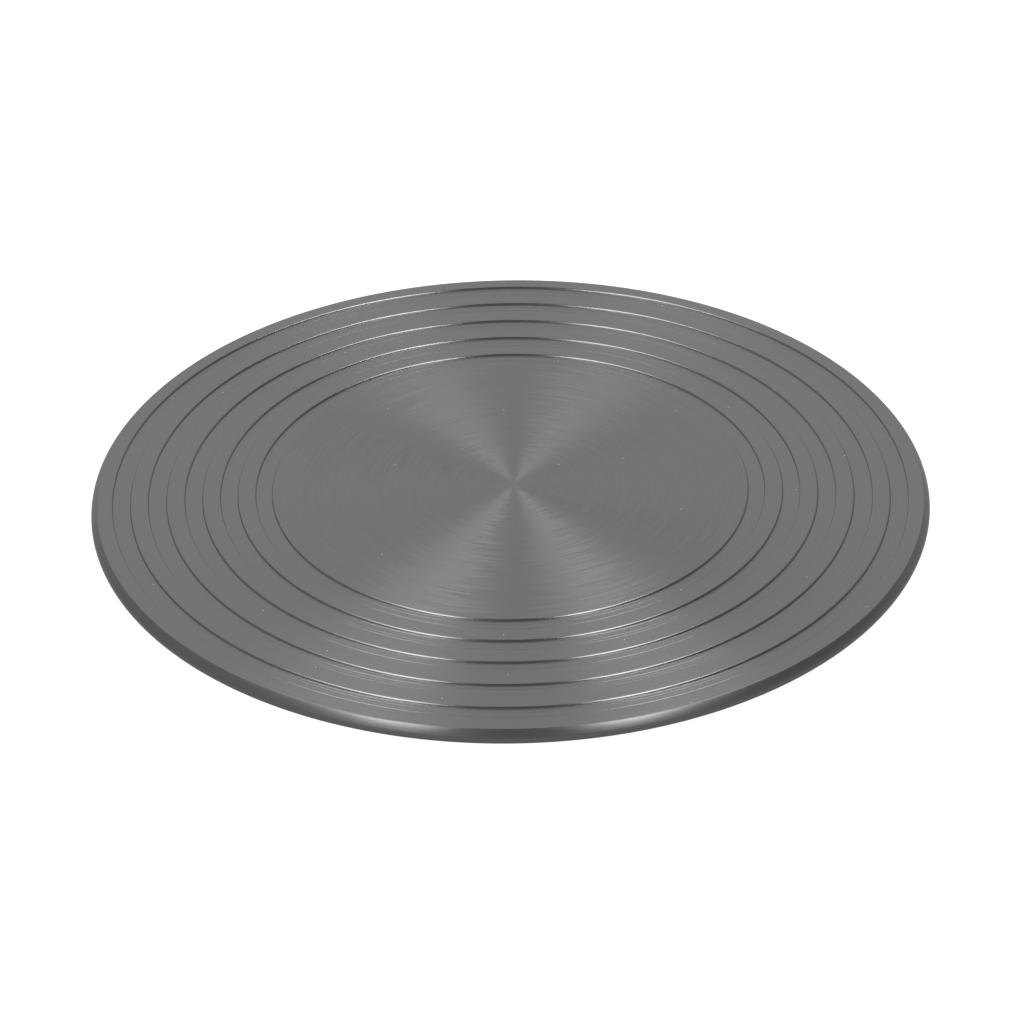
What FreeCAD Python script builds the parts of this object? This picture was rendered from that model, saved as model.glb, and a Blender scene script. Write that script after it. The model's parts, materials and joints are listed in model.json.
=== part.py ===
"""Low cake turntable: a grooved aluminium plate on a spindle and two ball bearings in a cast base.

Millimetres, +Z up. The origin lies on the spin axis at the level of the table top, under the feet.
Every sub-part is a parametric object whose sizes are bound to the sheet "Sizes".
"""
import FreeCAD, Part
import math
import os
from types import SimpleNamespace

import Sketcher
from FreeCAD import Placement, Rotation, Vector

document = FreeCAD.newDocument("CakeTurntable")

# ---------------------------------------------------------------- driving dimensions

DIMENSIONS = {
    # heights above the table top
    "total_height": 40.0,
    "stand_height": 3.5,
    "cap_seat_height": 5.5,
    "spindle_end_height": 6.0,
    "lower_bearing_height": 9.0,
    # plate
    "plate_radius": 140.0,
    "plate_thickness": 5.0,
    "plate_edge_round": 2.0,
    "plate_bevel_round": 8.22,
    "plate_bevel_inset": 2.1,
    "plate_bevel_depth": 1.88,
    "plate_bevel_foot_inset": 0.34,
    "channel_1_inner_radius": 79.0,
    "channel_1_outer_radius": 85.65,
    "channel_2_inner_radius": 90.45,
    "channel_2_outer_radius": 97.4,
    "channel_3_inner_radius": 102.2,
    "channel_3_outer_radius": 109.3,
    "channel_4_inner_radius": 114.2,
    "channel_4_outer_radius": 121.45,
    "channel_5_inner_radius": 126.2,
    "channel_5_outer_radius": 133.35,
    "channel_depth": 0.55,
    "channel_lip_round": 0.75,
    "channel_wall_run": 0.72,
    "hub_recess_depth": 0.5,
    # hub under the plate
    "hub_radius": 45.0,
    "hub_flange_thickness": 4.0,
    "hub_boss_radius": 9.9,
    "edge_chamfer": 0.6,
    "plate_screw_circle": 32.0,
    "plate_screw_reach": 2.6,
    "plate_screw_head_radius": 3.75,
    "plate_screw_head_rim": 0.3,
    "plate_screw_socket_width": 2.5,
    "plate_screw_socket_depth": 1.3,
    "m4_radius": 2.0,
    # spindle
    "spindle_radius": 7.5,
    "spindle_head_radius": 11.0,
    "spindle_head_thickness": 2.0,
    "spindle_chamfer": 0.5,
    # deep-groove ball bearings, 15 x 32 x 9
    "bearing_width": 9.0,
    "bearing_gap": 2.0,
    "bearing_outer_radius": 16.0,
    "bearing_pitch_radius": 11.75,
    "ball_radius": 2.381,
    "race_clearance": 0.05,
    "inner_shoulder_radius": 10.0,
    "outer_shoulder_radius": 13.5,
    "shield_seat_radius": 13.9,
    "shield_seat_depth": 0.6,
    "shield_thickness": 0.4,
    "shield_bore_radius": 10.3,
    "ring_chamfer": 0.4,
    "cage_inner_radius": 10.9,
    "cage_outer_radius": 12.6,
    "cage_height": 6.2,
    "cage_clearance": 0.12,
    # rings and washers on the spindle and in the housing
    "spacer_outer_radius": 9.2,
    "preload_washer_thickness": 0.5,
    "preload_washer_radius": 9.8,
    "spindle_clip_thickness": 1.0,
    "spindle_clip_inner_radius": 7.15,
    "spindle_clip_outer_radius": 9.0,
    "spindle_clip_lug_circle": 8.6,
    "housing_clip_thickness": 1.2,
    "housing_clip_inner_radius": 14.6,
    "housing_clip_outer_radius": 16.85,
    "housing_clip_lug_circle": 14.1,
    "clip_lug_radius": 1.6,
    "clip_eye_radius": 0.65,
    "clip_gap_width": 6.0,
    "clip_lug_offset": 3.96,
    # base
    "base_radius": 80.0,
    "base_wall_height": 5.0,
    "base_edge_round": 3.0,
    "cone_foot_radius": 72.0,
    "cone_foot_rise": 8.9,
    "cone_top_rise": 13.2,
    "neck_round": 9.0,
    "housing_radius": 22.0,
    "housing_top_gap": 0.6,
    "housing_shoulder_radius": 14.2,
    "relief_depth": 2.5,
    "relief_inner_radius": 30.0,
    "relief_outer_radius": 74.0,
    "rib_width": 4.0,
    "rib_inset": 0.5,
    "foot_boss_radius": 12.0,
    # dust seal
    "seal_inner_radius": 10.5,
    "seal_thickness": 1.6,
    # bearing cap
    "cap_radius": 27.0,
    "cap_thickness": 1.2,
    "cap_spigot_height": 0.9,
    "cap_spigot_inner_radius": 13.4,
    "cap_screw_circle": 22.0,
    "cap_screw_reach": 6.0,
    "cap_screw_head_radius": 2.75,
    "cap_screw_head_height": 1.4,
    "m3_radius": 1.5,
    # feet
    "foot_circle": 64.0,
    "foot_radius": 9.0,
    "foot_sole_radius": 8.2,
    "foot_edge": 0.7,
    "foot_seat_depth": 1.5,
    "foot_well_radius": 4.4,
    "foot_well_depth": 2.9,
    "washer_radius": 4.1,
    "washer_thickness": 0.8,
    "foot_screw_head_radius": 3.4,
    "foot_screw_head_height": 1.3,
    "foot_screw_reach": 5.0,
    # clearances
    "fit_gap": 0.03,
    "seat_gap": 0.1,
    "thread_gap": 0.02,
    "screw_hole_gap": 0.2,
    "overcut": 1.0,
}

PLATE_SCREW_COUNT = 4
BALL_COUNT = 9
RIB_COUNT = 8
CAP_SCREW_COUNT = 3
FOOT_COUNT = 4
FIRST_FOOT_ANGLE = 45.0


class Size:
    """A length with the sheet formula that it is bound to, so that sums of lengths stay bound too."""

    def __init__(self, value, formula):
        self.value = value
        self.formula = formula

    def __add__(self, other):
        other = as_size(other)
        return Size(self.value + other.value, f"{self.formula} + {other.formula}")

    def __sub__(self, other):
        other = as_size(other)
        return Size(self.value - other.value, f"{self.formula} - ({other.formula})")

    def __mul__(self, factor):
        return Size(self.value * factor, f"({self.formula}) * {factor}")

    def __truediv__(self, divisor):
        return Size(self.value / divisor, f"({self.formula}) / {divisor}")

    def __neg__(self):
        return Size(-self.value, f"-({self.formula})")


def as_size(length):
    return length if isinstance(length, Size) else Size(float(length), str(length))


def fill_sheet(dimensions):
    """Write the dimensions into the sheet, and return them as bound sizes."""
    sheet = document.addObject("Spreadsheet::Sheet", "Sizes")
    bound = {}
    for row, (name, value) in enumerate(dimensions.items(), start=1):
        sheet.set(f"A{row}", name)
        sheet.set(f"B{row}", str(value))
        sheet.setAlias(f"B{row}", name)
        bound[name] = Size(value, f"Sizes.{name}")
    document.recompute()
    return SimpleNamespace(**bound)


S = fill_sheet(DIMENSIONS)

# the radii at which each channel's lips meet the top
CHANNELS = [
    (S.channel_1_inner_radius, S.channel_1_outer_radius),
    (S.channel_2_inner_radius, S.channel_2_outer_radius),
    (S.channel_3_inner_radius, S.channel_3_outer_radius),
    (S.channel_4_inner_radius, S.channel_4_outer_radius),
    (S.channel_5_inner_radius, S.channel_5_outer_radius),
]

# heights that follow from the driving ones
PLATE_BOTTOM = S.total_height - S.plate_thickness
HUB_TOP = PLATE_BOTTOM + S.hub_recess_depth
HUB_FLANGE_BOTTOM = HUB_TOP - S.hub_flange_thickness
UPPER_BEARING_HEIGHT = S.lower_bearing_height + S.bearing_width + S.bearing_gap
UPPER_BEARING_TOP = UPPER_BEARING_HEIGHT + S.bearing_width
HOUSING_TOP = HUB_FLANGE_BOTTOM - S.housing_top_gap
FOOT_TOP = S.stand_height + S.foot_seat_depth

# ---------------------------------------------------------------- modelling helpers

sub_parts = []


def new_body(label, height=None):
    """Start a sub-part, raised to a height if one is given."""
    body = document.addObject("PartDesign::Body", label)
    body.Label = label
    if height is not None:
        body.setExpression("Placement.Base.z", height.formula)
    sub_parts.append(body)
    return body


def origin_feature(body, role):
    return next(item for item in body.Origin.OriginFeatures if item.Role == role)


def new_sketch(body, name, role, shift_x=None, shift_z=None):
    """Start a sketch on one of the body's own origin planes."""
    sketch = body.newObject("Sketcher::SketchObject", name)
    sketch.AttachmentSupport = [(origin_feature(body, role), "")]
    sketch.MapMode = "FlatFace"
    if shift_x is not None:
        sketch.setExpression("AttachmentOffset.Base.x", shift_x.formula)
    if shift_z is not None:
        sketch.setExpression("AttachmentOffset.Base.z", shift_z.formula)
    return sketch


def bind(sketch, constraint, size):
    number = sketch.addConstraint(constraint)
    sketch.setExpression(f"Constraints[{number}]", size.formula)


def pin_point(sketch, side, end, across, up):
    """Hold one end of a side at a place, each coordinate by its own formula."""
    if across.value == 0.0:
        sketch.addConstraint(Sketcher.Constraint("PointOnObject", side, end, -2))
    else:
        bind(sketch, Sketcher.Constraint("DistanceX", -1, 1, side, end, across.value), across)
    if up.value == 0.0:
        sketch.addConstraint(Sketcher.Constraint("PointOnObject", side, end, -1))
    else:
        bind(sketch, Sketcher.Constraint("DistanceY", -1, 1, side, end, up.value), up)


def arc_between(start, end, radius, turn):
    """The shorter arc from start to end: turn is 1 for anticlockwise and -1 for clockwise."""
    middle = (start + end) / 2
    chord = end - start
    rise = math.sqrt(radius * radius - chord.Length * chord.Length / 4)
    left = Vector(-chord.y, chord.x, 0).normalize()
    centre = middle + left * rise * turn
    first, last = (start, end) if turn > 0 else (end, start)
    circle = Part.Circle(centre, Vector(0, 0, 1), radius)
    begin = math.atan2(first.y - centre.y, first.x - centre.x)
    finish = math.atan2(last.y - centre.y, last.x - centre.x)
    if finish < begin:
        finish += 2 * math.pi
    return Part.ArcOfCircle(circle, begin, finish)


def draw_outline(sketch, corners):
    """Draw a closed outline. A corner is (across, up), or (across, up, radius, turn) where an arc starts."""
    offset = sketch.GeometryCount
    places = []
    for corner in corners:
        across, up = as_size(corner[0]), as_size(corner[1])
        places.append((across, up, Vector(across.value, up.value, 0)))
    ends = []
    for index, corner in enumerate(corners):
        start = places[index][2]
        end = places[(index + 1) % len(corners)][2]
        if len(corner) == 2:
            sketch.addGeometry(Part.LineSegment(start, end))
            ends.append((1, 2))
            continue
        radius, turn = corner[2], corner[3]
        sketch.addGeometry(arc_between(start, end, radius.value, turn))
        bind(sketch, Sketcher.Constraint("Radius", offset + index, radius.value), radius)
        ends.append((1, 2) if turn > 0 else (2, 1))
    for index in range(len(corners)):
        following = (index + 1) % len(corners)
        joint = (offset + index, ends[index][1], offset + following, ends[following][0])
        sketch.addConstraint(Sketcher.Constraint("Coincident", *joint))
        pin_point(sketch, offset + index, ends[index][0], places[index][0], places[index][1])


def draw_circle(sketch, across, up, radius):
    across, up = as_size(across), as_size(up)
    centre = Vector(across.value, up.value, 0)
    number = sketch.addGeometry(Part.Circle(centre, Vector(0, 0, 1), radius.value))
    pin_point(sketch, number, 3, across, up)
    bind(sketch, Sketcher.Constraint("Radius", number, radius.value), radius)


def draw_hexagon(sketch, width):
    """A regular hexagon about the sketch's origin, given its width across flats."""
    reach = width / math.sqrt(3.0)
    corners = []
    for index in range(6):
        angle = math.radians(60 * index)
        across, up = round(math.cos(angle), 9), round(math.sin(angle), 9)
        corners.append((reach * across, reach * up if up else 0.0))
    draw_outline(sketch, corners)


def revolve(body, sketch, kind="PartDesign::Revolution"):
    """Turn a sketch once round its own vertical axis, as material or as a groove."""
    feature = body.newObject(kind, f"{sketch.Name}_turned")
    feature.Profile = sketch
    feature.ReferenceAxis = (sketch, ["V_Axis"])
    feature.Angle = 360.0
    sketch.Visibility = False
    return feature


def groove(body, sketch):
    return revolve(body, sketch, "PartDesign::Groove")


def pad(body, sketch, length):
    feature = body.newObject("PartDesign::Pad", f"{sketch.Name}_padded")
    feature.Profile = sketch
    feature.setExpression("Length", length.formula)
    return feature


def pocket(body, sketch, length, upwards=False):
    feature = body.newObject("PartDesign::Pocket", f"{sketch.Name}_cut")
    feature.Profile = sketch
    feature.setExpression("Length", length.formula)
    feature.Reversed = upwards
    return feature


def repeat_around(body, features, count):
    """Repeat features round the body's Z axis."""
    pattern = body.newObject("PartDesign::PolarPattern", f"{features[0].Name}_repeated")
    pattern.Originals = features
    pattern.Axis = (origin_feature(body, "Z_Axis"), [""])
    pattern.Angle = 360.0
    pattern.Occurrences = count
    body.Tip = pattern
    return pattern


def turned_body(label, corners, height=None):
    """A sub-part that is one turned outline, (radius, height) corners in its own frame."""
    body = new_body(label, height)
    sketch = new_sketch(body, f"{label}_outline", "XZ_Plane")
    draw_outline(sketch, corners)
    revolve(body, sketch)
    return body


def ring_corners(inner, outer, bottom, top):
    return [(inner, bottom), (outer, bottom), (outer, top), (inner, top)]


# ---------------------------------------------------------------- plate and hub


def make_top_plate():
    """Plate with a bevelled and rounded rim, five shallow channels on top and a seat for the hub below."""
    body = new_body("top_plate", PLATE_BOTTOM)
    seat = S.hub_radius + S.seat_gap
    bevel_foot = S.plate_radius - S.plate_bevel_foot_inset
    outline = new_sketch(body, "plate_outline", "XZ_Plane")
    draw_outline(outline, [
        (0, S.hub_recess_depth),
        (seat, S.hub_recess_depth),
        (seat, 0),
        (S.plate_radius - S.plate_edge_round, 0, S.plate_edge_round, 1),
        (bevel_foot, S.plate_thickness - S.plate_bevel_depth, S.plate_bevel_round, 1),
        (S.plate_radius - S.plate_bevel_inset, S.plate_thickness),
        (0, S.plate_thickness),
    ])
    revolve(body, outline)
    channels = new_sketch(body, "plate_channels", "XZ_Plane")
    top = S.plate_thickness
    floor = top - S.channel_depth
    for inner, outer in CHANNELS:
        draw_outline(channels, [
            (inner + S.channel_wall_run, floor),
            (outer - S.channel_wall_run, floor, S.channel_lip_round, -1),
            (outer, top),
            (outer, top + S.overcut),
            (inner, top + S.overcut),
            (inner, top, S.channel_lip_round, -1),
        ])
    groove(body, channels)
    holes = new_sketch(body, "plate_screw_holes", "XY_Plane")
    draw_circle(holes, S.plate_screw_circle, 0, S.m4_radius + S.thread_gap)
    depth = S.hub_recess_depth + S.plate_screw_reach + S.seat_gap
    hole = pocket(body, holes, depth, upwards=True)
    repeat_around(body, [hole], PLATE_SCREW_COUNT)


def countersunk_corners(bottom, head_radius, shank_radius, top, extra=0):
    """Outline of a countersunk screw, or of its hole when extra room is given."""
    head, shank = head_radius + extra, shank_radius + extra
    rim = bottom + S.plate_screw_head_rim
    return [
        (0, bottom),
        (head, bottom),
        (head, rim),
        (shank, rim + (head - shank)),
        (shank, top),
        (0, top),
    ]


def make_plate_hub():
    """Flanged hub: its boss stands on the upper bearing and its flange carries the plate."""
    boss = HUB_FLANGE_BOTTOM - UPPER_BEARING_TOP
    top = boss + S.hub_flange_thickness
    bore = S.spindle_radius + S.fit_gap
    seat = top - S.spindle_head_thickness
    body = turned_body("plate_hub", [
        (bore, 0),
        (S.hub_boss_radius, 0),
        (S.hub_boss_radius, boss),
        (S.hub_radius - S.edge_chamfer, boss),
        (S.hub_radius, boss + S.edge_chamfer),
        (S.hub_radius, top),
        (S.spindle_head_radius + S.seat_gap, top),
        (S.spindle_head_radius + S.seat_gap, seat),
        (bore, seat),
    ], UPPER_BEARING_TOP)
    holes = new_sketch(body, "hub_countersinks", "XZ_Plane", shift_x=S.plate_screw_circle)
    draw_outline(holes, countersunk_corners(boss - S.fit_gap, S.plate_screw_head_radius, S.m4_radius,
                                            top + S.overcut, S.screw_hole_gap))
    repeat_around(body, [groove(body, holes)], PLATE_SCREW_COUNT)


def make_plate_screws():
    """Four countersunk socket screws that hold the plate to the hub from below."""
    body = new_body("plate_screws", HUB_FLANGE_BOTTOM)
    outline = new_sketch(body, "plate_screw_outline", "XZ_Plane", shift_x=S.plate_screw_circle)
    length = S.hub_flange_thickness + S.plate_screw_reach
    draw_outline(outline, countersunk_corners(S.seat_gap, S.plate_screw_head_radius, S.m4_radius, length))
    shank = revolve(body, outline)
    socket = new_sketch(body, "plate_screw_socket", "XY_Plane", shift_x=S.plate_screw_circle)
    draw_hexagon(socket, S.plate_screw_socket_width)
    hollow = pocket(body, socket, S.seat_gap + S.plate_screw_socket_depth, upwards=True)
    repeat_around(body, [shank, hollow], PLATE_SCREW_COUNT)


# ---------------------------------------------------------------- spindle


def make_spindle():
    """Headed pin, held in the hub, with a clip groove near its lower end."""
    clip_top = S.lower_bearing_height - S.preload_washer_thickness - S.spindle_end_height
    clip_bottom = clip_top - S.spindle_clip_thickness
    top = HUB_TOP - S.spindle_end_height
    head = top - S.spindle_head_thickness
    groove_radius = S.spindle_clip_inner_radius - S.fit_gap
    turned_body("spindle", [
        (0, 0),
        (S.spindle_radius - S.spindle_chamfer, 0),
        (S.spindle_radius, S.spindle_chamfer),
        (S.spindle_radius, clip_bottom),
        (groove_radius, clip_bottom),
        (groove_radius, clip_top),
        (S.spindle_radius, clip_top),
        (S.spindle_radius, head),
        (S.spindle_head_radius, head),
        (S.spindle_head_radius, top),
        (0, top),
    ], S.spindle_end_height)


def make_spacer_and_washer():
    """Sleeve between the two inner rings, and the washer that preloads the lower one."""
    bore = S.spindle_radius + S.fit_gap
    turned_body("inner_spacer", ring_corners(bore, S.spacer_outer_radius, 0, S.bearing_gap),
                S.lower_bearing_height + S.bearing_width)
    turned_body("preload_washer",
                ring_corners(bore, S.preload_washer_radius, 0, S.preload_washer_thickness),
                S.lower_bearing_height - S.preload_washer_thickness)


def make_clip(label, inner, outer, lug_circle, thickness, height):
    """Snap ring: an open band with two eyed lugs beside its gap."""
    body = new_body(label, height)
    band = new_sketch(body, f"{label}_band", "XY_Plane")
    draw_circle(band, 0, 0, outer)
    draw_circle(band, 0, 0, inner)
    pad(body, band, thickness)
    gap = new_sketch(body, f"{label}_gap", "XY_Plane")
    half_gap = S.clip_gap_width / 2
    draw_outline(gap, [
        (inner - S.overcut, -half_gap),
        (outer + S.overcut, -half_gap),
        (outer + S.overcut, half_gap),
        (inner - S.overcut, half_gap),
    ])
    pocket(body, gap, thickness, upwards=True)
    for side, name in ((-1, "right"), (1, "left")):
        across = S.clip_lug_offset * side
        lug = new_sketch(body, f"{label}_{name}_lug", "XY_Plane")
        draw_circle(lug, lug_circle, across, S.clip_lug_radius)
        pad(body, lug, thickness)
        eye = new_sketch(body, f"{label}_{name}_eye", "XY_Plane")
        draw_circle(eye, lug_circle, across, S.clip_eye_radius)
        pocket(body, eye, thickness, upwards=True)


def make_clips():
    make_clip("spindle_clip", S.spindle_clip_inner_radius, S.spindle_clip_outer_radius,
              S.spindle_clip_lug_circle, S.spindle_clip_thickness,
              S.lower_bearing_height - S.preload_washer_thickness - S.spindle_clip_thickness)
    make_clip("housing_clip", S.housing_clip_inner_radius, S.housing_clip_outer_radius,
              S.housing_clip_lug_circle, S.housing_clip_thickness,
              S.lower_bearing_height - S.housing_clip_thickness)


# ---------------------------------------------------------------- bearings


def cut_race(body, label):
    """Cut the ball track half-way up a ring."""
    race = new_sketch(body, f"{label}_race", "XZ_Plane")
    draw_circle(race, S.bearing_pitch_radius, S.bearing_width / 2, S.ball_radius + S.race_clearance)
    groove(body, race)


def make_bearing(prefix, height):
    """One shielded deep-groove ball bearing: rings, cage, balls and shields."""
    width = S.bearing_width
    chamfer = S.ring_chamfer
    bore = S.spindle_radius + S.fit_gap

    inner = turned_body(f"{prefix}_inner_ring", [
        (bore, 0),
        (S.inner_shoulder_radius, 0),
        (S.inner_shoulder_radius, width),
        (bore, width),
    ], height)
    cut_race(inner, f"{prefix}_inner_ring")

    outer = turned_body(f"{prefix}_outer_ring", [
        (S.shield_seat_radius, 0),
        (S.bearing_outer_radius - chamfer, 0),
        (S.bearing_outer_radius, chamfer),
        (S.bearing_outer_radius, width - chamfer),
        (S.bearing_outer_radius - chamfer, width),
        (S.shield_seat_radius, width),
        (S.shield_seat_radius, width - S.shield_seat_depth),
        (S.outer_shoulder_radius, width - S.shield_seat_depth),
        (S.outer_shoulder_radius, S.shield_seat_depth),
        (S.shield_seat_radius, S.shield_seat_depth),
    ], height)
    cut_race(outer, f"{prefix}_outer_ring")

    shields = new_body(f"{prefix}_shields", height)
    bands = new_sketch(shields, f"{prefix}_shield_bands", "XZ_Plane")
    rim = S.shield_seat_radius - S.fit_gap
    low = S.shield_seat_depth - S.shield_thickness
    draw_outline(bands, ring_corners(S.shield_bore_radius, rim, low, S.shield_seat_depth))
    draw_outline(bands, ring_corners(S.shield_bore_radius, rim, width - S.shield_seat_depth, width - low))
    revolve(shields, bands)

    cage = turned_body(f"{prefix}_cage", ring_corners(
        S.cage_inner_radius, S.cage_outer_radius,
        width / 2 - S.cage_height / 2, width / 2 + S.cage_height / 2), height)
    window = new_sketch(cage, f"{prefix}_cage_window", "YZ_Plane", shift_z=S.cage_inner_radius - S.overcut)
    draw_circle(window, 0, width / 2, S.ball_radius + S.cage_clearance)
    cut = pocket(cage, window, S.cage_outer_radius - S.cage_inner_radius + S.overcut * 2, upwards=True)
    repeat_around(cage, [cut], BALL_COUNT)

    balls = new_body(f"{prefix}_balls", height)
    ball = balls.newObject("PartDesign::AdditiveSphere", f"{prefix}_ball")
    ball.setExpression("Radius", S.ball_radius.formula)
    ball.AttachmentSupport = [(origin_feature(balls, "XY_Plane"), "")]
    ball.MapMode = "FlatFace"
    ball.setExpression("AttachmentOffset.Base.x", S.bearing_pitch_radius.formula)
    ball.setExpression("AttachmentOffset.Base.z", (width / 2).formula)
    repeat_around(balls, [ball], BALL_COUNT)


# ---------------------------------------------------------------- base


def make_base_casting():
    """Heavy round casting: low cone, bearing housing in the middle, ribs and foot seats below."""
    body = new_body("base_casting")
    bore = S.bearing_outer_radius + S.fit_gap
    clip_bottom = S.lower_bearing_height - S.housing_clip_thickness
    clip_bore = S.housing_clip_outer_radius + S.fit_gap
    shoulder_bottom = S.lower_bearing_height + S.bearing_width
    wall_top = S.stand_height + S.base_wall_height
    cone_foot = S.stand_height + S.cone_foot_rise
    cone_top = S.stand_height + S.cone_top_rise
    relief = S.stand_height + S.relief_depth
    edge = S.base_edge_round
    outline = new_sketch(body, "base_outline", "XZ_Plane")
    draw_outline(outline, [
        (bore, S.cap_seat_height),
        (S.relief_inner_radius, S.cap_seat_height),
        (S.relief_inner_radius, relief),
        (S.relief_outer_radius, relief),
        (S.relief_outer_radius, S.stand_height),
        (S.base_radius - S.edge_chamfer, S.stand_height),
        (S.base_radius, S.stand_height + S.edge_chamfer),
        (S.base_radius, wall_top, edge, 1),
        (S.base_radius - edge, wall_top + edge),
        (S.cone_foot_radius, cone_foot),
        (S.housing_radius + S.neck_round, cone_top, S.neck_round, -1),
        (S.housing_radius, cone_top + S.neck_round),
        (S.housing_radius, HOUSING_TOP - S.edge_chamfer),
        (S.housing_radius - S.edge_chamfer, HOUSING_TOP),
        (bore, HOUSING_TOP),
        (bore, UPPER_BEARING_HEIGHT),
        (S.housing_shoulder_radius, UPPER_BEARING_HEIGHT),
        (S.housing_shoulder_radius, shoulder_bottom),
        (bore, shoulder_bottom),
        (bore, S.lower_bearing_height),
        (clip_bore, S.lower_bearing_height),
        (clip_bore, clip_bottom),
        (bore, clip_bottom),
    ])
    revolve(body, outline)

    rib = new_sketch(body, "base_rib", "XY_Plane", shift_z=S.stand_height + S.rib_inset)
    half_rib = S.rib_width / 2
    draw_outline(rib, [
        (S.relief_inner_radius - S.overcut, -half_rib),
        (S.relief_outer_radius + S.overcut, -half_rib),
        (S.relief_outer_radius + S.overcut, half_rib),
        (S.relief_inner_radius - S.overcut, half_rib),
    ])
    repeat_around(body, [pad(body, rib, S.relief_depth)], RIB_COUNT)

    boss_x = S.foot_circle * round(math.cos(math.radians(FIRST_FOOT_ANGLE)), 9)
    boss_y = S.foot_circle * round(math.sin(math.radians(FIRST_FOOT_ANGLE)), 9)
    boss = new_sketch(body, "foot_boss", "XY_Plane", shift_z=S.stand_height)
    draw_circle(boss, boss_x, boss_y, S.foot_boss_radius)
    repeat_around(body, [pad(body, boss, S.relief_depth + S.overcut)], FOOT_COUNT)
    seat = new_sketch(body, "foot_seat", "XY_Plane", shift_z=S.stand_height)
    draw_circle(seat, boss_x, boss_y, S.foot_radius + S.seat_gap)
    repeat_around(body, [pocket(body, seat, S.foot_seat_depth, upwards=True)], FOOT_COUNT)
    hole = new_sketch(body, "foot_screw_hole", "XY_Plane", shift_z=S.stand_height)
    draw_circle(hole, boss_x, boss_y, S.m4_radius + S.thread_gap)
    hole_depth = S.foot_seat_depth + S.foot_screw_reach + S.seat_gap
    repeat_around(body, [pocket(body, hole, hole_depth, upwards=True)], FOOT_COUNT)
    cap_hole = new_sketch(body, "cap_screw_hole", "XY_Plane", shift_z=S.cap_seat_height)
    draw_circle(cap_hole, S.cap_screw_circle, 0, S.m3_radius + S.thread_gap)
    cut = pocket(body, cap_hole, S.cap_screw_reach + S.seat_gap, upwards=True)
    repeat_around(body, [cut], CAP_SCREW_COUNT)


def make_dust_seal():
    """Felt ring on the upper bearing, inside the mouth of the housing."""
    rim = S.bearing_outer_radius - S.fit_gap
    turned_body("dust_seal", ring_corners(S.seal_inner_radius, rim, 0, S.seal_thickness), UPPER_BEARING_TOP)


def make_bearing_cap():
    """Pressed cap that closes the housing from below, located by a spigot ring."""
    body = turned_body("bearing_cap", [
        (0, 0),
        (S.cap_radius - S.ring_chamfer, 0),
        (S.cap_radius, S.ring_chamfer),
        (S.cap_radius, S.cap_thickness),
        (S.bearing_outer_radius - S.seat_gap, S.cap_thickness),
        (S.bearing_outer_radius - S.seat_gap, S.cap_thickness + S.cap_spigot_height),
        (S.cap_spigot_inner_radius, S.cap_thickness + S.cap_spigot_height),
        (S.cap_spigot_inner_radius, S.cap_thickness - S.seat_gap),
        (0, S.cap_thickness - S.seat_gap),
    ], S.cap_seat_height - S.cap_thickness)
    hole = new_sketch(body, "cap_clearance_hole", "XY_Plane")
    draw_circle(hole, S.cap_screw_circle, 0, S.m3_radius + S.screw_hole_gap)
    repeat_around(body, [pocket(body, hole, S.cap_thickness, upwards=True)], CAP_SCREW_COUNT)


def headed_screw_corners(head_radius, head_height, shank_radius, length):
    """Outline of a pan-head screw that stands on its head, with a softened head edge."""
    soft = head_height / 3
    return [
        (0, 0),
        (head_radius - soft, 0, soft, 1),
        (head_radius, soft),
        (head_radius, head_height),
        (shank_radius, head_height),
        (shank_radius, head_height + length),
        (0, head_height + length),
    ]


def make_screw_set(label, circle, angle, height, corners, slot, count):
    """A set of equal slotted screws on a circle."""
    body = new_body(label, height)
    body.Placement = Placement(body.Placement.Base, Rotation(Vector(0, 0, 1), angle))
    outline = new_sketch(body, f"{label}_outline", "XZ_Plane", shift_x=circle)
    draw_outline(outline, corners)
    shank = revolve(body, outline)
    cross = new_sketch(body, f"{label}_slot", "XY_Plane", shift_x=circle)
    long_half, short_half, depth = slot
    draw_outline(cross, [
        (-long_half, -short_half),
        (long_half, -short_half),
        (long_half, short_half),
        (-long_half, short_half),
    ])
    cut = pocket(body, cross, depth, upwards=True)
    repeat_around(body, [shank, cut], count)


def make_cap_screws():
    length = S.cap_thickness + S.cap_screw_reach
    corners = headed_screw_corners(S.cap_screw_head_radius, S.cap_screw_head_height, S.m3_radius, length)
    slot = (S.cap_screw_head_radius + S.overcut, S.cap_screw_head_height / 4, S.cap_screw_head_height / 2)
    height = S.cap_seat_height - S.cap_thickness - S.cap_screw_head_height
    make_screw_set("cap_screws", S.cap_screw_circle, 0.0, height, corners, slot, CAP_SCREW_COUNT)


# ---------------------------------------------------------------- feet


def make_foot(number, angle):
    """Rubber foot with a well that hides its screw and washer."""
    label = f"foot_{number}"
    hole = S.m4_radius + S.screw_hole_gap
    body = turned_body(label, [
        (S.foot_well_radius, 0),
        (S.foot_sole_radius - S.foot_edge, 0, S.foot_edge, 1),
        (S.foot_sole_radius, S.foot_edge),
        (S.foot_radius, S.stand_height),
        (S.foot_radius, FOOT_TOP),
        (hole, FOOT_TOP),
        (hole, S.foot_well_depth),
        (S.foot_well_radius, S.foot_well_depth),
    ])
    body.setExpression("Placement.Base.x", f"{S.foot_circle.formula} * cos({angle} deg)")
    body.setExpression("Placement.Base.y", f"{S.foot_circle.formula} * sin({angle} deg)")


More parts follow.
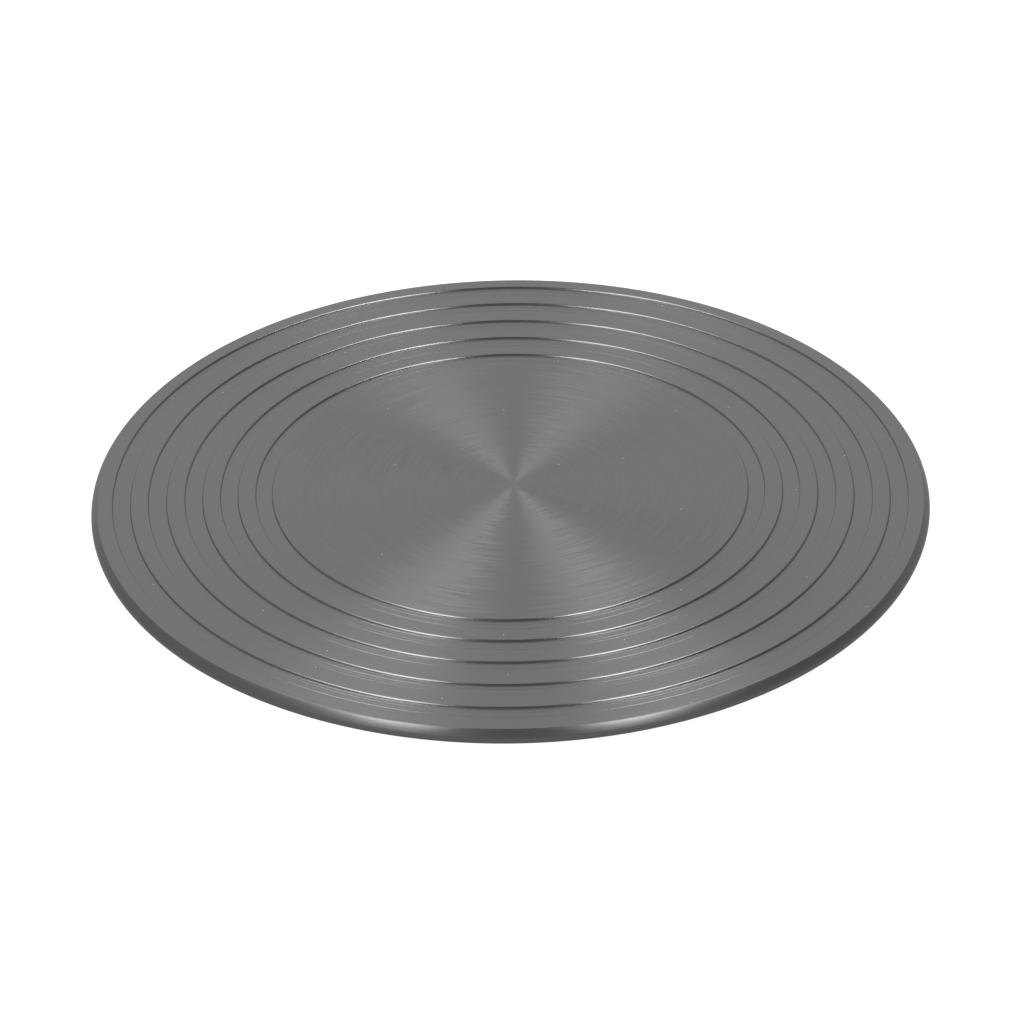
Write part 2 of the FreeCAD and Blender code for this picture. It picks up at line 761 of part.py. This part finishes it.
def make_feet():
    for index in range(FOOT_COUNT):
        make_foot(index + 1, FIRST_FOOT_ANGLE + 360.0 * index / FOOT_COUNT)
    washer_bottom = S.foot_well_depth - S.washer_thickness
    washers = new_body("foot_washers", washer_bottom)
    washers.Placement = Placement(washers.Placement.Base, Rotation(Vector(0, 0, 1), FIRST_FOOT_ANGLE))
    band = new_sketch(washers, "foot_washer_band", "XZ_Plane", shift_x=S.foot_circle)
    draw_outline(band, ring_corners(S.m4_radius + S.screw_hole_gap, S.washer_radius, 0, S.washer_thickness))
    repeat_around(washers, [revolve(washers, band)], FOOT_COUNT)
    length = FOOT_TOP + S.foot_screw_reach - S.foot_well_depth + S.washer_thickness
    corners = headed_screw_corners(S.foot_screw_head_radius, S.foot_screw_head_height, S.m4_radius, length)
    slot = (S.foot_screw_head_radius + S.overcut, S.foot_screw_head_height / 4, S.foot_screw_head_height / 2)
    make_screw_set("foot_screws", S.foot_circle, FIRST_FOOT_ANGLE, washer_bottom - S.foot_screw_head_height,
                   corners, slot, FOOT_COUNT)


# ---------------------------------------------------------------- build, test and write


def build_all():
    make_top_plate()
    make_plate_hub()
    make_plate_screws()
    make_spindle()
    make_spacer_and_washer()
    make_clips()
    make_bearing("upper_bearing", UPPER_BEARING_HEIGHT)
    make_bearing("lower_bearing", S.lower_bearing_height)
    make_base_casting()
    make_dust_seal()
    make_bearing_cap()
    make_cap_screws()
    make_feet()
    document.recompute()


def check_model():
    """Stop if any object failed, or if a sub-part has no sound shape."""
    for item in document.Objects:
        if "Invalid" in item.State or "Error" in item.State:
            raise RuntimeError(f"{item.Label} did not recompute: {item.State}")
    for body in sub_parts:
        if body.Shape.isNull() or not body.Shape.isValid():
            raise RuntimeError(f"{body.Label} has no valid shape")


def write_parts():
    os.makedirs("parts", exist_ok=True)
    for body in sub_parts:
        body.Shape.exportStep(f"parts/{body.Label}.step")
        box = body.Shape.BoundBox
        print(f"{body.Label:28s} solids {len(body.Shape.Solids):2d}  volume {body.Shape.Volume:10.1f}"
              f"  r {max(box.XMax, box.YMax):7.2f}  z {box.ZMin:6.2f} to {box.ZMax:6.2f}")


build_all()
check_model()
write_parts()
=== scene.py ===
import json
import math

import bpy
from mathutils import Matrix, Vector


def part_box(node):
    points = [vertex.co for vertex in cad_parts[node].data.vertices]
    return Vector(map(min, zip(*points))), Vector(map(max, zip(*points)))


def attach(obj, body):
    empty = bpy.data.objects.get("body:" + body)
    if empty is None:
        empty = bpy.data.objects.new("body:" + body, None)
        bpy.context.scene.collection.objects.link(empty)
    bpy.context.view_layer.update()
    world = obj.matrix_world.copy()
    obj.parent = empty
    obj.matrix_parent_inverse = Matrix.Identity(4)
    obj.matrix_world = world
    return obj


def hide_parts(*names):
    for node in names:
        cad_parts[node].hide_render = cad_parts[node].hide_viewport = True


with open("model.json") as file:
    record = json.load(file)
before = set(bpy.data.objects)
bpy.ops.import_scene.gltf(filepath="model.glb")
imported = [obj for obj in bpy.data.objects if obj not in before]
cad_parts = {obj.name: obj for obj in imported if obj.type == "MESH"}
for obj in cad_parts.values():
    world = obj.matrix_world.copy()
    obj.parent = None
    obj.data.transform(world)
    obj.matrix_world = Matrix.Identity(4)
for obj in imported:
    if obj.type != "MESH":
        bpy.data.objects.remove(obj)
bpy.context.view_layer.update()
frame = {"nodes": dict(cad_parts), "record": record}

MM = 0.001

# ---------------------------------------------------------------- the plate's sizes, in millimetres

PLATE_RADIUS = 140.0
PLATE_THICKNESS = 5.0
PLATE_SEGMENTS = 300
CENTRE_RINGS = (0.1, 0.25, 0.5, 0.75)
EDGE_ROUND = 2.0
EDGE_STEPS = 20

# tilts in degrees from level; the bevel starts a little past its top tilt, where its corner ends
BEVEL_LOW_TILT = 56.0
BEVEL_TOP_TILT = 38.0
BEVEL_START_PAST = 0.5
BEVEL_STEPS = 8
BEVEL_CORNER_ROUND = 0.1

# the radii at which each channel's lips meet the top
CHANNEL_EDGES = ((79.0, 85.65), (90.45, 97.4), (102.2, 109.3), (114.2, 121.45), (126.2, 133.35))
CHANNEL_DEPTH = 0.55
CHANNEL_LIP_ROUND = 0.75
CHANNEL_LIP_STEPS = 6
CHANNEL_FOOT_ROUND = 0.12
CHANNEL_FOOT_STEPS = 2

# each mark's depth differs by a wave: its size, and its phase from mark to mark and channel to channel
TOOL_MARKS_PER_CHANNEL = 4
TOOL_MARK_PITCH = 1.2
TOOL_MARK_START = 0.45
TOOL_MARK_WIDTH = 0.40
TOOL_MARK_DEPTH = 0.035
TOOL_MARK_WAVE = 0.5
TOOL_MARK_PHASE = 2.4
TOOL_CHANNEL_PHASE = 1.7

HUB_SEAT_RADIUS = 45.1
HUB_SEAT_DEPTH = 0.5
SMALL_ROUND = 0.12
SMALL_STEPS = 3

plate_low, plate_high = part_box("top_plate")
PLATE_BOTTOM = plate_high.z - PLATE_THICKNESS * MM

# ---------------------------------------------------------------- turned shapes


class Outline:
    """The outline of a turned piece: points in millimetres, each with the surface's outward normal."""

    def __init__(self):
        self.points = []

    def add(self, radius, height, normal_out, normal_up):
        if self.points and math.dist(self.points[-1][:2], (radius, height)) < 1e-6:
            return
        self.points.append((radius, height, normal_out, normal_up))

    def arc(self, centre, radius, start, end, steps, hollow=False):
        """An arc by its centre and its angles in degrees. A hollow one has its normals turned inwards."""
        sign = -1.0 if hollow else 1.0
        for step in range(steps + 1):
            angle = math.radians(start + (end - start) * step / steps)
            across, up = math.cos(angle), math.sin(angle)
            self.add(centre[0] + radius * across, centre[1] + radius * up, sign * across, sign * up)


def tool_marks(outline, start, floor, channel_index):
    """Narrow rings that the tool leaves in a channel's floor, none as deep as the next."""
    half = TOOL_MARK_WIDTH / 2
    for mark in range(TOOL_MARKS_PER_CHANNEL):
        middle = start + TOOL_MARK_PITCH * (mark + TOOL_MARK_START)
        phase = TOOL_MARK_PHASE * mark + TOOL_CHANNEL_PHASE * channel_index
        depth = TOOL_MARK_DEPTH * (1.0 + TOOL_MARK_WAVE * math.sin(phase))
        for share in (-1.0, -0.5, 0.0, 0.5, 1.0):
            slope = depth * math.pi / TOOL_MARK_WIDTH * math.sin(math.pi * share)
            size = math.hypot(1.0, slope)
            height = floor - depth * (1 + math.cos(math.pi * share)) / 2
            outline.add(middle + half * share, height, -slope / size, 1.0 / size)


def channel(outline, index, inner, outer):
    """One channel in the top: broadly rounded lips that drop to a floor with tool marks."""
    lip, foot = CHANNEL_LIP_ROUND, CHANNEL_FOOT_ROUND
    top, floor = PLATE_THICKNESS, PLATE_THICKNESS - CHANNEL_DEPTH
    rise = lip - CHANNEL_DEPTH + foot
    run = math.sqrt((lip + foot) ** 2 - rise ** 2)
    meet = math.degrees(math.atan2(rise, run))
    outline.arc((inner, top - lip), lip, 90, meet, CHANNEL_LIP_STEPS)
    outline.arc((inner + run, floor + foot), foot, 180 + meet, 270, CHANNEL_FOOT_STEPS, hollow=True)
    tool_marks(outline, inner + run, floor, index)
    outline.arc((outer - run, floor + foot), foot, 270, 360 - meet, CHANNEL_FOOT_STEPS, hollow=True)
    outline.arc((outer, top - lip), lip, 180 - meet, 90, CHANNEL_LIP_STEPS)


def bevelled_edge(outline):
    """The plate's rim: a gently curved bevel above, blended into a round edge below."""
    low_tilt, top_tilt = math.radians(BEVEL_LOW_TILT), math.radians(BEVEL_TOP_TILT)
    centre = (PLATE_RADIUS - EDGE_ROUND, EDGE_ROUND)
    foot = (centre[0] + EDGE_ROUND * math.sin(low_tilt), centre[1] + EDGE_ROUND * math.cos(low_tilt))
    bevel_round = (PLATE_THICKNESS - foot[1]) / (math.cos(top_tilt) - math.cos(low_tilt))
    bevel_centre = (foot[0] - bevel_round * math.sin(low_tilt), foot[1] - bevel_round * math.cos(low_tilt))
    top = bevel_centre[0] + bevel_round * math.sin(top_tilt)
    corner = BEVEL_CORNER_ROUND
    corner_centre = (top - corner * math.tan(top_tilt / 2), PLATE_THICKNESS - corner)
    start = 90 - BEVEL_START_PAST - BEVEL_TOP_TILT
    outline.arc(corner_centre, corner, 90, 90 - BEVEL_TOP_TILT, SMALL_STEPS)
    outline.arc(bevel_centre, bevel_round, start, 90 - BEVEL_LOW_TILT, BEVEL_STEPS)
    outline.arc(centre, EDGE_ROUND, 90 - BEVEL_LOW_TILT, -90, EDGE_STEPS)


def plate_outline():
    """From the middle of the top, out over the channels and round the rim, to the middle below."""
    outline = Outline()
    outline.add(0, PLATE_THICKNESS, 0, 1)
    for share in CENTRE_RINGS:
        outline.add(CHANNEL_EDGES[0][0] * share, PLATE_THICKNESS, 0, 1)
    for index, (inner, outer) in enumerate(CHANNEL_EDGES):
        channel(outline, index, inner, outer)
    bevelled_edge(outline)
    small = SMALL_ROUND
    outline.arc((HUB_SEAT_RADIUS + small, small), small, 270, 180, SMALL_STEPS)
    outline.arc((HUB_SEAT_RADIUS - small, HUB_SEAT_DEPTH - small), small, 0, 90, SMALL_STEPS, hollow=True)
    outline.add(0, HUB_SEAT_DEPTH, 0, -1)
    return outline.points


def turned_mesh(name, points, segments, base_height):
    """Turn an outline once round the Z axis. Points on the axis become single vertices."""
    vertices, normals, rows = [], [], []
    for radius, height, normal_out, normal_up in points:
        z = base_height + height * MM
        if radius == 0:
            rows.append([len(vertices)] * segments)
            vertices.append((0, 0, z))
            normals.append((0, 0, math.copysign(1.0, normal_up)))
            continue
        rows.append(list(range(len(vertices), len(vertices) + segments)))
        for segment in range(segments):
            angle = 2 * math.pi * segment / segments
            across, along = math.cos(angle), math.sin(angle)
            vertices.append((radius * MM * across, radius * MM * along, z))
            normals.append((normal_out * across, normal_out * along, normal_up))
    faces = []
    for upper, lower in zip(rows, rows[1:]):
        for segment in range(segments):
            following = (segment + 1) % segments
            corners = (upper[segment], lower[segment], lower[following], upper[following])
            faces.append(tuple(dict.fromkeys(corners)))
    mesh = bpy.data.meshes.new(name)
    mesh.from_pydata(vertices, [], faces)
    mesh.validate()
    mesh.shade_smooth()
    mesh.normals_split_custom_set_from_vertices(normals)
    piece = bpy.data.objects.new(name, mesh)
    bpy.context.scene.collection.objects.link(piece)
    return piece


# ---------------------------------------------------------------- materials

# nearly all of a noise lies between these two values
NOISE_LOW = 0.3
NOISE_HIGH = 0.7

# the plate's finish, in metres: the turning was done a little off centre
TURNING_CENTRE = (0.00125, 0.0)
RING_ZONE = (0.0785, 0.0795)
RIM_ZONE = (0.1372, 0.1378)
CENTRE_FADE = (0.001, 0.006)
CENTRE_SMOOTHNESS = 0.12
STREAKS_PER_METRE = 1000.0
STREAK_BREAKS = (3, 3, 3)
SWAY_IN_CENTRE = 0.09
SWAY_IN_RINGS = 0.03
CENTRE_ROUGHNESS = (0.25, 0.36)
RING_ROUGHNESS = 0.25
RIM_ROUGHNESS = 0.33
FINE_RINGS_PER_METRE = 2600.0
DUST_SCALE = 52.0
DUST_SIZE = 0.011
DUST_RARITY = 0.8


class Finish:
    """A node material: small helpers that add a node and wire its inputs."""

    def __init__(self, name):
        self.material = bpy.data.materials.new(name)
        self.material.use_nodes = True
        self.nodes = self.material.node_tree.nodes
        self.links = self.material.node_tree.links
        self.shader = self.nodes["Principled BSDF"]

    def node(self, kind, settings=None, inputs=None):
        node = self.nodes.new(kind)
        for key, value in (settings or {}).items():
            setattr(node, key, value)
        for key, value in (inputs or {}).items():
            self.feed(node, key, value)
        return node

    def feed(self, node, key, value):
        if isinstance(value, bpy.types.NodeSocket):
            self.links.new(value, node.inputs[key])
        else:
            node.inputs[key].default_value = value

    def set(self, **inputs):
        for key, value in inputs.items():
            self.feed(self.shader, key.replace("_", " "), value)

    def math(self, operation, first, second=0.0):
        node = self.node("ShaderNodeMath", {"operation": operation}, {0: first, 1: second})
        return node.outputs[0]

    def vector(self, operation, *inputs):
        node = self.node("ShaderNodeVectorMath", {"operation": operation}, dict(enumerate(inputs)))
        return node.outputs[0]

    def length(self, vector):
        node = self.node("ShaderNodeVectorMath", {"operation": "LENGTH"}, {0: vector})
        return node.outputs["Value"]

    def place(self):
        return self.node("ShaderNodeTexCoord").outputs["Object"]

    def axis_distance(self):
        """Distance from the spin axis, in metres."""
        return self.length(self.vector("MULTIPLY", self.place(), (1, 1, 0)))

    def ring_noise(self, per_metre, detail=2.0, roughness=0.5):
        """Noise that changes only with the distance from the axis, as turning leaves it."""
        along = self.math("MULTIPLY", self.axis_distance(), per_metre)
        noise = self.node("ShaderNodeTexNoise", {"noise_dimensions": "1D"},
                          {"W": along, "Scale": 1.0, "Detail": detail, "Roughness": roughness})
        return noise.outputs[0]

    def noise(self, scale, detail=2.0, roughness=0.5):
        node = self.node("ShaderNodeTexNoise", {},
                         {"Vector": self.place(), "Scale": scale, "Detail": detail, "Roughness": roughness})
        return node.outputs[0]

    def spread(self, value, low, high, from_low=0.0, from_high=1.0):
        """Map a value from one range to another."""
        node = self.node("ShaderNodeMapRange", {},
                         {"Value": value, "From Min": from_low, "From Max": from_high,
                          "To Min": low, "To Max": high})
        return node.outputs[0]

    def grain(self, noise, low, high):
        """Map a noise onto the range from low to high."""
        return self.spread(noise, low, high, NOISE_LOW, NOISE_HIGH)

    def blend(self, share, first, second):
        """Mix two colours, each an (r, g, b) or a socket."""
        node = self.nodes.new("ShaderNodeMix")
        node.data_type = "RGBA"
        self.feed(node, 0, share)
        self.feed(node, 6, (*first, 1.0) if isinstance(first, tuple) else first)
        self.feed(node, 7, (*second, 1.0) if isinstance(second, tuple) else second)
        return node.outputs[2]

    def bump(self, height, distance, strength=1.0):
        node = self.node("ShaderNodeBump", {}, {"Height": height, "Distance": distance, "Strength": strength})
        self.set(Normal=node.outputs[0])


def grey(level):
    return (level, level, level)


def turned_anodised():
    """Dark grey anodised aluminium, faced in fine circles, with a little dust on it."""
    finish = Finish("turned_anodised")
    place = finish.place()
    to_centre = (-TURNING_CENTRE[0], -TURNING_CENTRE[1], 0)
    from_centre = finish.vector("MULTIPLY_ADD", place, (1, 1, 0), to_centre)
    outwards = finish.vector("NORMALIZE", from_centre)
    distance = finish.length(from_centre)

    # broken rings, as noise on a cone that changes fast outwards and slowly around
    rings = finish.math("MULTIPLY", distance, STREAKS_PER_METRE)
    cone = finish.node("ShaderNodeCombineXYZ", {}, {"Z": rings}).outputs[0]
    streak = finish.node("ShaderNodeTexNoise", {}, {
        "Vector": finish.vector("MULTIPLY_ADD", outwards, STREAK_BREAKS, cone),
        "Scale": 1.0,
        "Detail": 2.0,
        "Roughness": 0.6,
    }).outputs[0]

    # the brushing runs round the plate and sways a little from streak to streak
    ringed = finish.spread(finish.axis_distance(), 0.0, 1.0, *RING_ZONE)
    most = finish.spread(ringed, SWAY_IN_CENTRE, SWAY_IN_RINGS)
    sway = finish.math("MULTIPLY", finish.grain(streak, -1.0, 1.0), most)
    lean = finish.node("ShaderNodeVectorMath", {"operation": "SCALE"}, {0: outwards, "Scale": sway})
    around = finish.vector("CROSS_PRODUCT", (0, 0, 1), outwards)
    to_world = {"vector_type": "VECTOR", "convert_from": "OBJECT", "convert_to": "WORLD"}
    along = finish.vector("ADD", around, lean.outputs[0])
    tangent = finish.node("ShaderNodeVectorTransform", to_world, {0: along})

    # streaked roughness in the flat centre, plain over the rings, more on the rim
    outer = finish.spread(finish.axis_distance(), RING_ROUGHNESS, RIM_ROUGHNESS, *RIM_ZONE)
    low, high = (finish.spread(ringed, roughness, outer) for roughness in CENTRE_ROUGHNESS)
    smoother = finish.spread(distance, CENTRE_SMOOTHNESS, 0.0, *CENTRE_FADE)
    roughness = finish.math("SUBTRACT", finish.grain(streak, low, high), smoother)

    fine = finish.ring_noise(FINE_RINGS_PER_METRE, 3.0, 0.6)
    metal = finish.blend(finish.grain(fine, 0.0, 1.0), grey(0.160), grey(0.170))
    dust = finish.node("ShaderNodeTexVoronoi", {"voronoi_dimensions": "2D"},
                       {"Vector": place, "Scale": DUST_SCALE})
    near = finish.math("LESS_THAN", dust.outputs["Distance"], DUST_SIZE)
    pick = finish.node("ShaderNodeSeparateColor", {}, {0: dust.outputs["Color"]}).outputs[0]
    speck = finish.math("MULTIPLY", near, finish.math("GREATER_THAN", pick, DUST_RARITY))
    finish.set(Base_Color=finish.blend(speck, metal, grey(0.32)), Metallic=finish.math("SUBTRACT", 1.0, speck),
               Roughness=roughness, Anisotropic=0.86, Anisotropic_Rotation=0.25, Tangent=tangent.outputs[0])
    finish.bump(fine, 0.000002)
    return finish.material


def plain_metal(name, low, high, roughness):
    """Metal with a fine grain: its two tones, and its middle roughness."""
    finish = Finish(name)
    grains = finish.noise(900.0, 3.0, 0.6)
    finish.set(Base_Color=finish.blend(finish.grain(grains, 0.0, 1.0), low, high), Metallic=1.0,
               Roughness=finish.grain(grains, roughness - 0.05, roughness + 0.07))
    finish.bump(grains, 0.000006)
    return finish.material


def enamelled_iron():
    """Dark enamel over a cast surface: a slight orange peel on broad casting marks."""
    finish = Finish("enamelled_iron")
    peel = finish.noise(420.0, 2.0, 0.5)
    cast = finish.noise(60.0, 4.0, 0.6)
    colour = finish.blend(finish.spread(cast, 0.0, 1.0, 0.35, 0.65), grey(0.045), grey(0.065))
    finish.set(Base_Color=colour, Roughness=finish.grain(peel, 0.34, 0.46))
    both = finish.math("ADD", finish.math("MULTIPLY", peel, 0.25), cast)
    finish.bump(both, 0.00012, 0.6)
    return finish.material


def moulded_rubber():
    """Matt black rubber with dust on it."""
    finish = Finish("moulded_rubber")
    grain = finish.noise(1500.0, 2.0, 0.5)
    dust = finish.noise(90.0, 4.0, 0.6)
    colour = finish.blend(finish.spread(dust, 0.0, 1.0, 0.45, 0.75), grey(0.018), grey(0.045))
    finish.set(Base_Color=colour, Roughness=finish.grain(grain, 0.62, 0.80))
    finish.bump(grain, 0.00002)
    return finish.material


def wool_felt():
    """Grey felt with short fibres."""
    finish = Finish("wool_felt")
    fibre = finish.noise(1400.0, 5.0, 0.75)
    colour = finish.blend(finish.grain(fibre, 0.0, 1.0), (0.10, 0.095, 0.09), (0.26, 0.25, 0.235))
    finish.set(Base_Color=colour, Roughness=0.95)
    finish.bump(fibre, 0.0003)
    return finish.material


# ---------------------------------------------------------------- pieces

plate = turned_mesh("turned_plate", plate_outline(), PLATE_SEGMENTS, PLATE_BOTTOM)
plate.data.materials.append(turned_anodised())
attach(plate, "turntable")
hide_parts("top_plate")

finishes = {
    "hub_aluminium": plain_metal("turned_aluminium", grey(0.55), grey(0.66), 0.30),
    "spindle_steel": plain_metal("ground_steel", grey(0.48), grey(0.58), 0.22),
    "bearing_steel": plain_metal("bearing_steel", grey(0.58), grey(0.66), 0.10),
    "shield_steel": plain_metal("shield_steel", grey(0.52), grey(0.62), 0.26),
    "cage_brass": plain_metal("cage_brass", (0.62, 0.45, 0.20), (0.74, 0.57, 0.29), 0.28),
    "spring_steel": plain_metal("black_spring_steel", grey(0.06), grey(0.11), 0.32),
    "screw_steel": plain_metal("zinc_screw_steel", grey(0.50), grey(0.62), 0.28),
    "base_iron": enamelled_iron(),
    "cap_steel": plain_metal("pressed_cap_steel", grey(0.50), grey(0.60), 0.30),
    "felt": wool_felt(),
    "foot_rubber": moulded_rubber(),
}
for entry in frame["record"]["subparts"]:
    if entry["material_slot"] in finishes:
        node = frame["nodes"][entry["node"]]
        node.data.materials.clear()
        node.data.materials.append(finishes[entry["material_slot"]])

# ---------------------------------------------------------------- camera, floor and light

CAMERA_DISTANCE = 1.2704
CAMERA_ELEVATION = math.radians(32.694)
CAMERA_LENS = 133.41
CAMERA_PAN = 0.00037
CAMERA_TILT = 0.00734
CAMERA_ROLL = -0.01474

WORLD_LEVEL = 0.51
FLOOR_SHADE = 0.2
FLOOR_GLOW = 0.36
FLOOR_SEEN_GLOW = 1.0
FLOOR_HALF_WIDTH = 6.0
SOFTBOX_SIZE = (0.30, 1.46)
SOFTBOX_FRONT = (0.52, -0.80, 1.2)
SOFTBOX_BACK = (0.32, 0.63, 1.2)
LEFT_POWER = 9.3
RIGHT_POWER = 9.9

# regions of the surround: direction, inner and outer angle in degrees, and strength
DARK_REGION = ((0.40, -0.20, 0.90), 20, 68, 0.23)
BRIGHT_REGION = ((-0.07, 0.84, 0.54), 12, 46, 1.0)


def add_camera():
    """Camera looking down at the middle of the plate's top, with a little pan, tilt and roll."""
    rise, run = math.sin(CAMERA_ELEVATION), math.cos(CAMERA_ELEVATION)
    place = Vector((0, -CAMERA_DISTANCE * run, plate_high.z + CAMERA_DISTANCE * rise))
    right = Vector((1, 0, 0))
    down = Vector((0, -rise, -run))
    ahead = Vector((0, run, -rise))
    pan = Matrix.Rotation(-CAMERA_PAN, 3, "Y")
    tilt = Matrix.Rotation(CAMERA_TILT, 3, "X")
    roll = Matrix.Rotation(CAMERA_ROLL, 3, "Z")
    rows = roll @ tilt @ pan @ Matrix((right, down, ahead))
    turn = Matrix((rows[0], -rows[1], -rows[2])).transposed()
    data = bpy.data.cameras.new("camera")
    data.lens = CAMERA_LENS
    data.sensor_width = 36.0
    data.dof.use_dof = False
    camera = bpy.data.objects.new("camera", data)
    camera.matrix_world = Matrix.Translation(place) @ turn.to_4x4()
    bpy.context.scene.collection.objects.link(camera)
    bpy.context.scene.camera = camera


def add_floor():
    """Pale floor, plain white where it is seen. From below it is clear, so that the underside shows."""
    mesh = bpy.data.meshes.new("floor")
    half = FLOOR_HALF_WIDTH
    corners = [(-half, -half, 0), (half, -half, 0), (half, half, 0), (-half, half, 0)]
    mesh.from_pydata(corners, [], [(0, 1, 2, 3)])
    floor = bpy.data.objects.new("floor", mesh)
    bpy.context.scene.collection.objects.link(floor)
    finish = Finish("pale_floor")
    seen = finish.node("ShaderNodeLightPath").outputs["Is Camera Ray"]
    finish.set(Base_Color=(*grey(FLOOR_SHADE), 1.0), Roughness=0.9, Specular_IOR_Level=0.0,
               Emission_Color=(1, 1, 1, 1), Emission_Strength=finish.spread(seen, FLOOR_GLOW, FLOOR_SEEN_GLOW))
    behind = finish.node("ShaderNodeNewGeometry").outputs["Backfacing"]
    clear = finish.node("ShaderNodeBsdfTransparent").outputs[0]
    either = finish.node("ShaderNodeMixShader", {}, {0: behind, 1: finish.shader.outputs[0], 2: clear})
    finish.feed(finish.nodes["Material Output"], "Surface", either.outputs[0])
    mesh.materials.append(finish.material)


def add_softbox(name, side, power):
    """Long area light above one side of the plate, turned to face its middle."""
    data = bpy.data.lights.new(name, "AREA")
    data.shape = "RECTANGLE"
    data.size, data.size_y = SOFTBOX_SIZE
    data.energy = power
    lamp = bpy.data.objects.new(name, data)
    front, back = (Vector((side * x, y, z)) for x, y, z in (SOFTBOX_FRONT, SOFTBOX_BACK))
    place = (front + back) / 2
    away = place.normalized()
    across = (back - front).cross(away).normalized()
    along = away.cross(across)
    turn = Matrix((across, along, away)).transposed()
    lamp.matrix_world = Matrix.Translation(place + Vector((0, 0, plate_high.z))) @ turn.to_4x4()
    bpy.context.scene.collection.objects.link(lamp)


def add_world():
    """Soft surround, plain white where it is seen. It is dimmest overhead and brightest behind."""
    world = bpy.data.worlds.new("studio")
    bpy.context.scene.world = world
    world.use_nodes = True
    nodes, links = world.node_tree.nodes, world.node_tree.links
    place = nodes.new("ShaderNodeTexCoord")
    level = WORLD_LEVEL
    for direction, inner, outer, strength in (DARK_REGION, BRIGHT_REGION):
        nearness = nodes.new("ShaderNodeVectorMath")
        nearness.operation = "DOT_PRODUCT"
        nearness.inputs[1].default_value = Vector(direction).normalized()
        links.new(place.outputs["Generated"], nearness.inputs[0])
        region = nodes.new("ShaderNodeMapRange")
        region.interpolation_type = "SMOOTHSTEP"
        region.inputs["From Min"].default_value = math.cos(math.radians(outer))
        region.inputs["From Max"].default_value = math.cos(math.radians(inner))
        region.inputs["To Max"].default_value = strength
        links.new(nearness.outputs["Value"], region.inputs["Value"])
        if isinstance(level, float):
            region.inputs["To Min"].default_value = level
        else:
            links.new(level, region.inputs["To Min"])
        level = region.outputs[0]
    path = nodes.new("ShaderNodeLightPath")
    seen = nodes.new("ShaderNodeMix")
    seen.inputs["B"].default_value = 1.0
    links.new(path.outputs["Is Camera Ray"], seen.inputs["Factor"])
    links.new(level, seen.inputs["A"])
    links.new(seen.outputs[0], nodes["Background"].inputs["Strength"])
    nodes["Background"].inputs["Color"].default_value = (1, 1, 1, 1)


add_camera()
add_floor()
add_softbox("left_softbox", -1.0, LEFT_POWER)
add_softbox("right_softbox", 1.0, RIGHT_POWER)
add_world()
bpy.context.scene.view_settings.view_transform = "Standard"
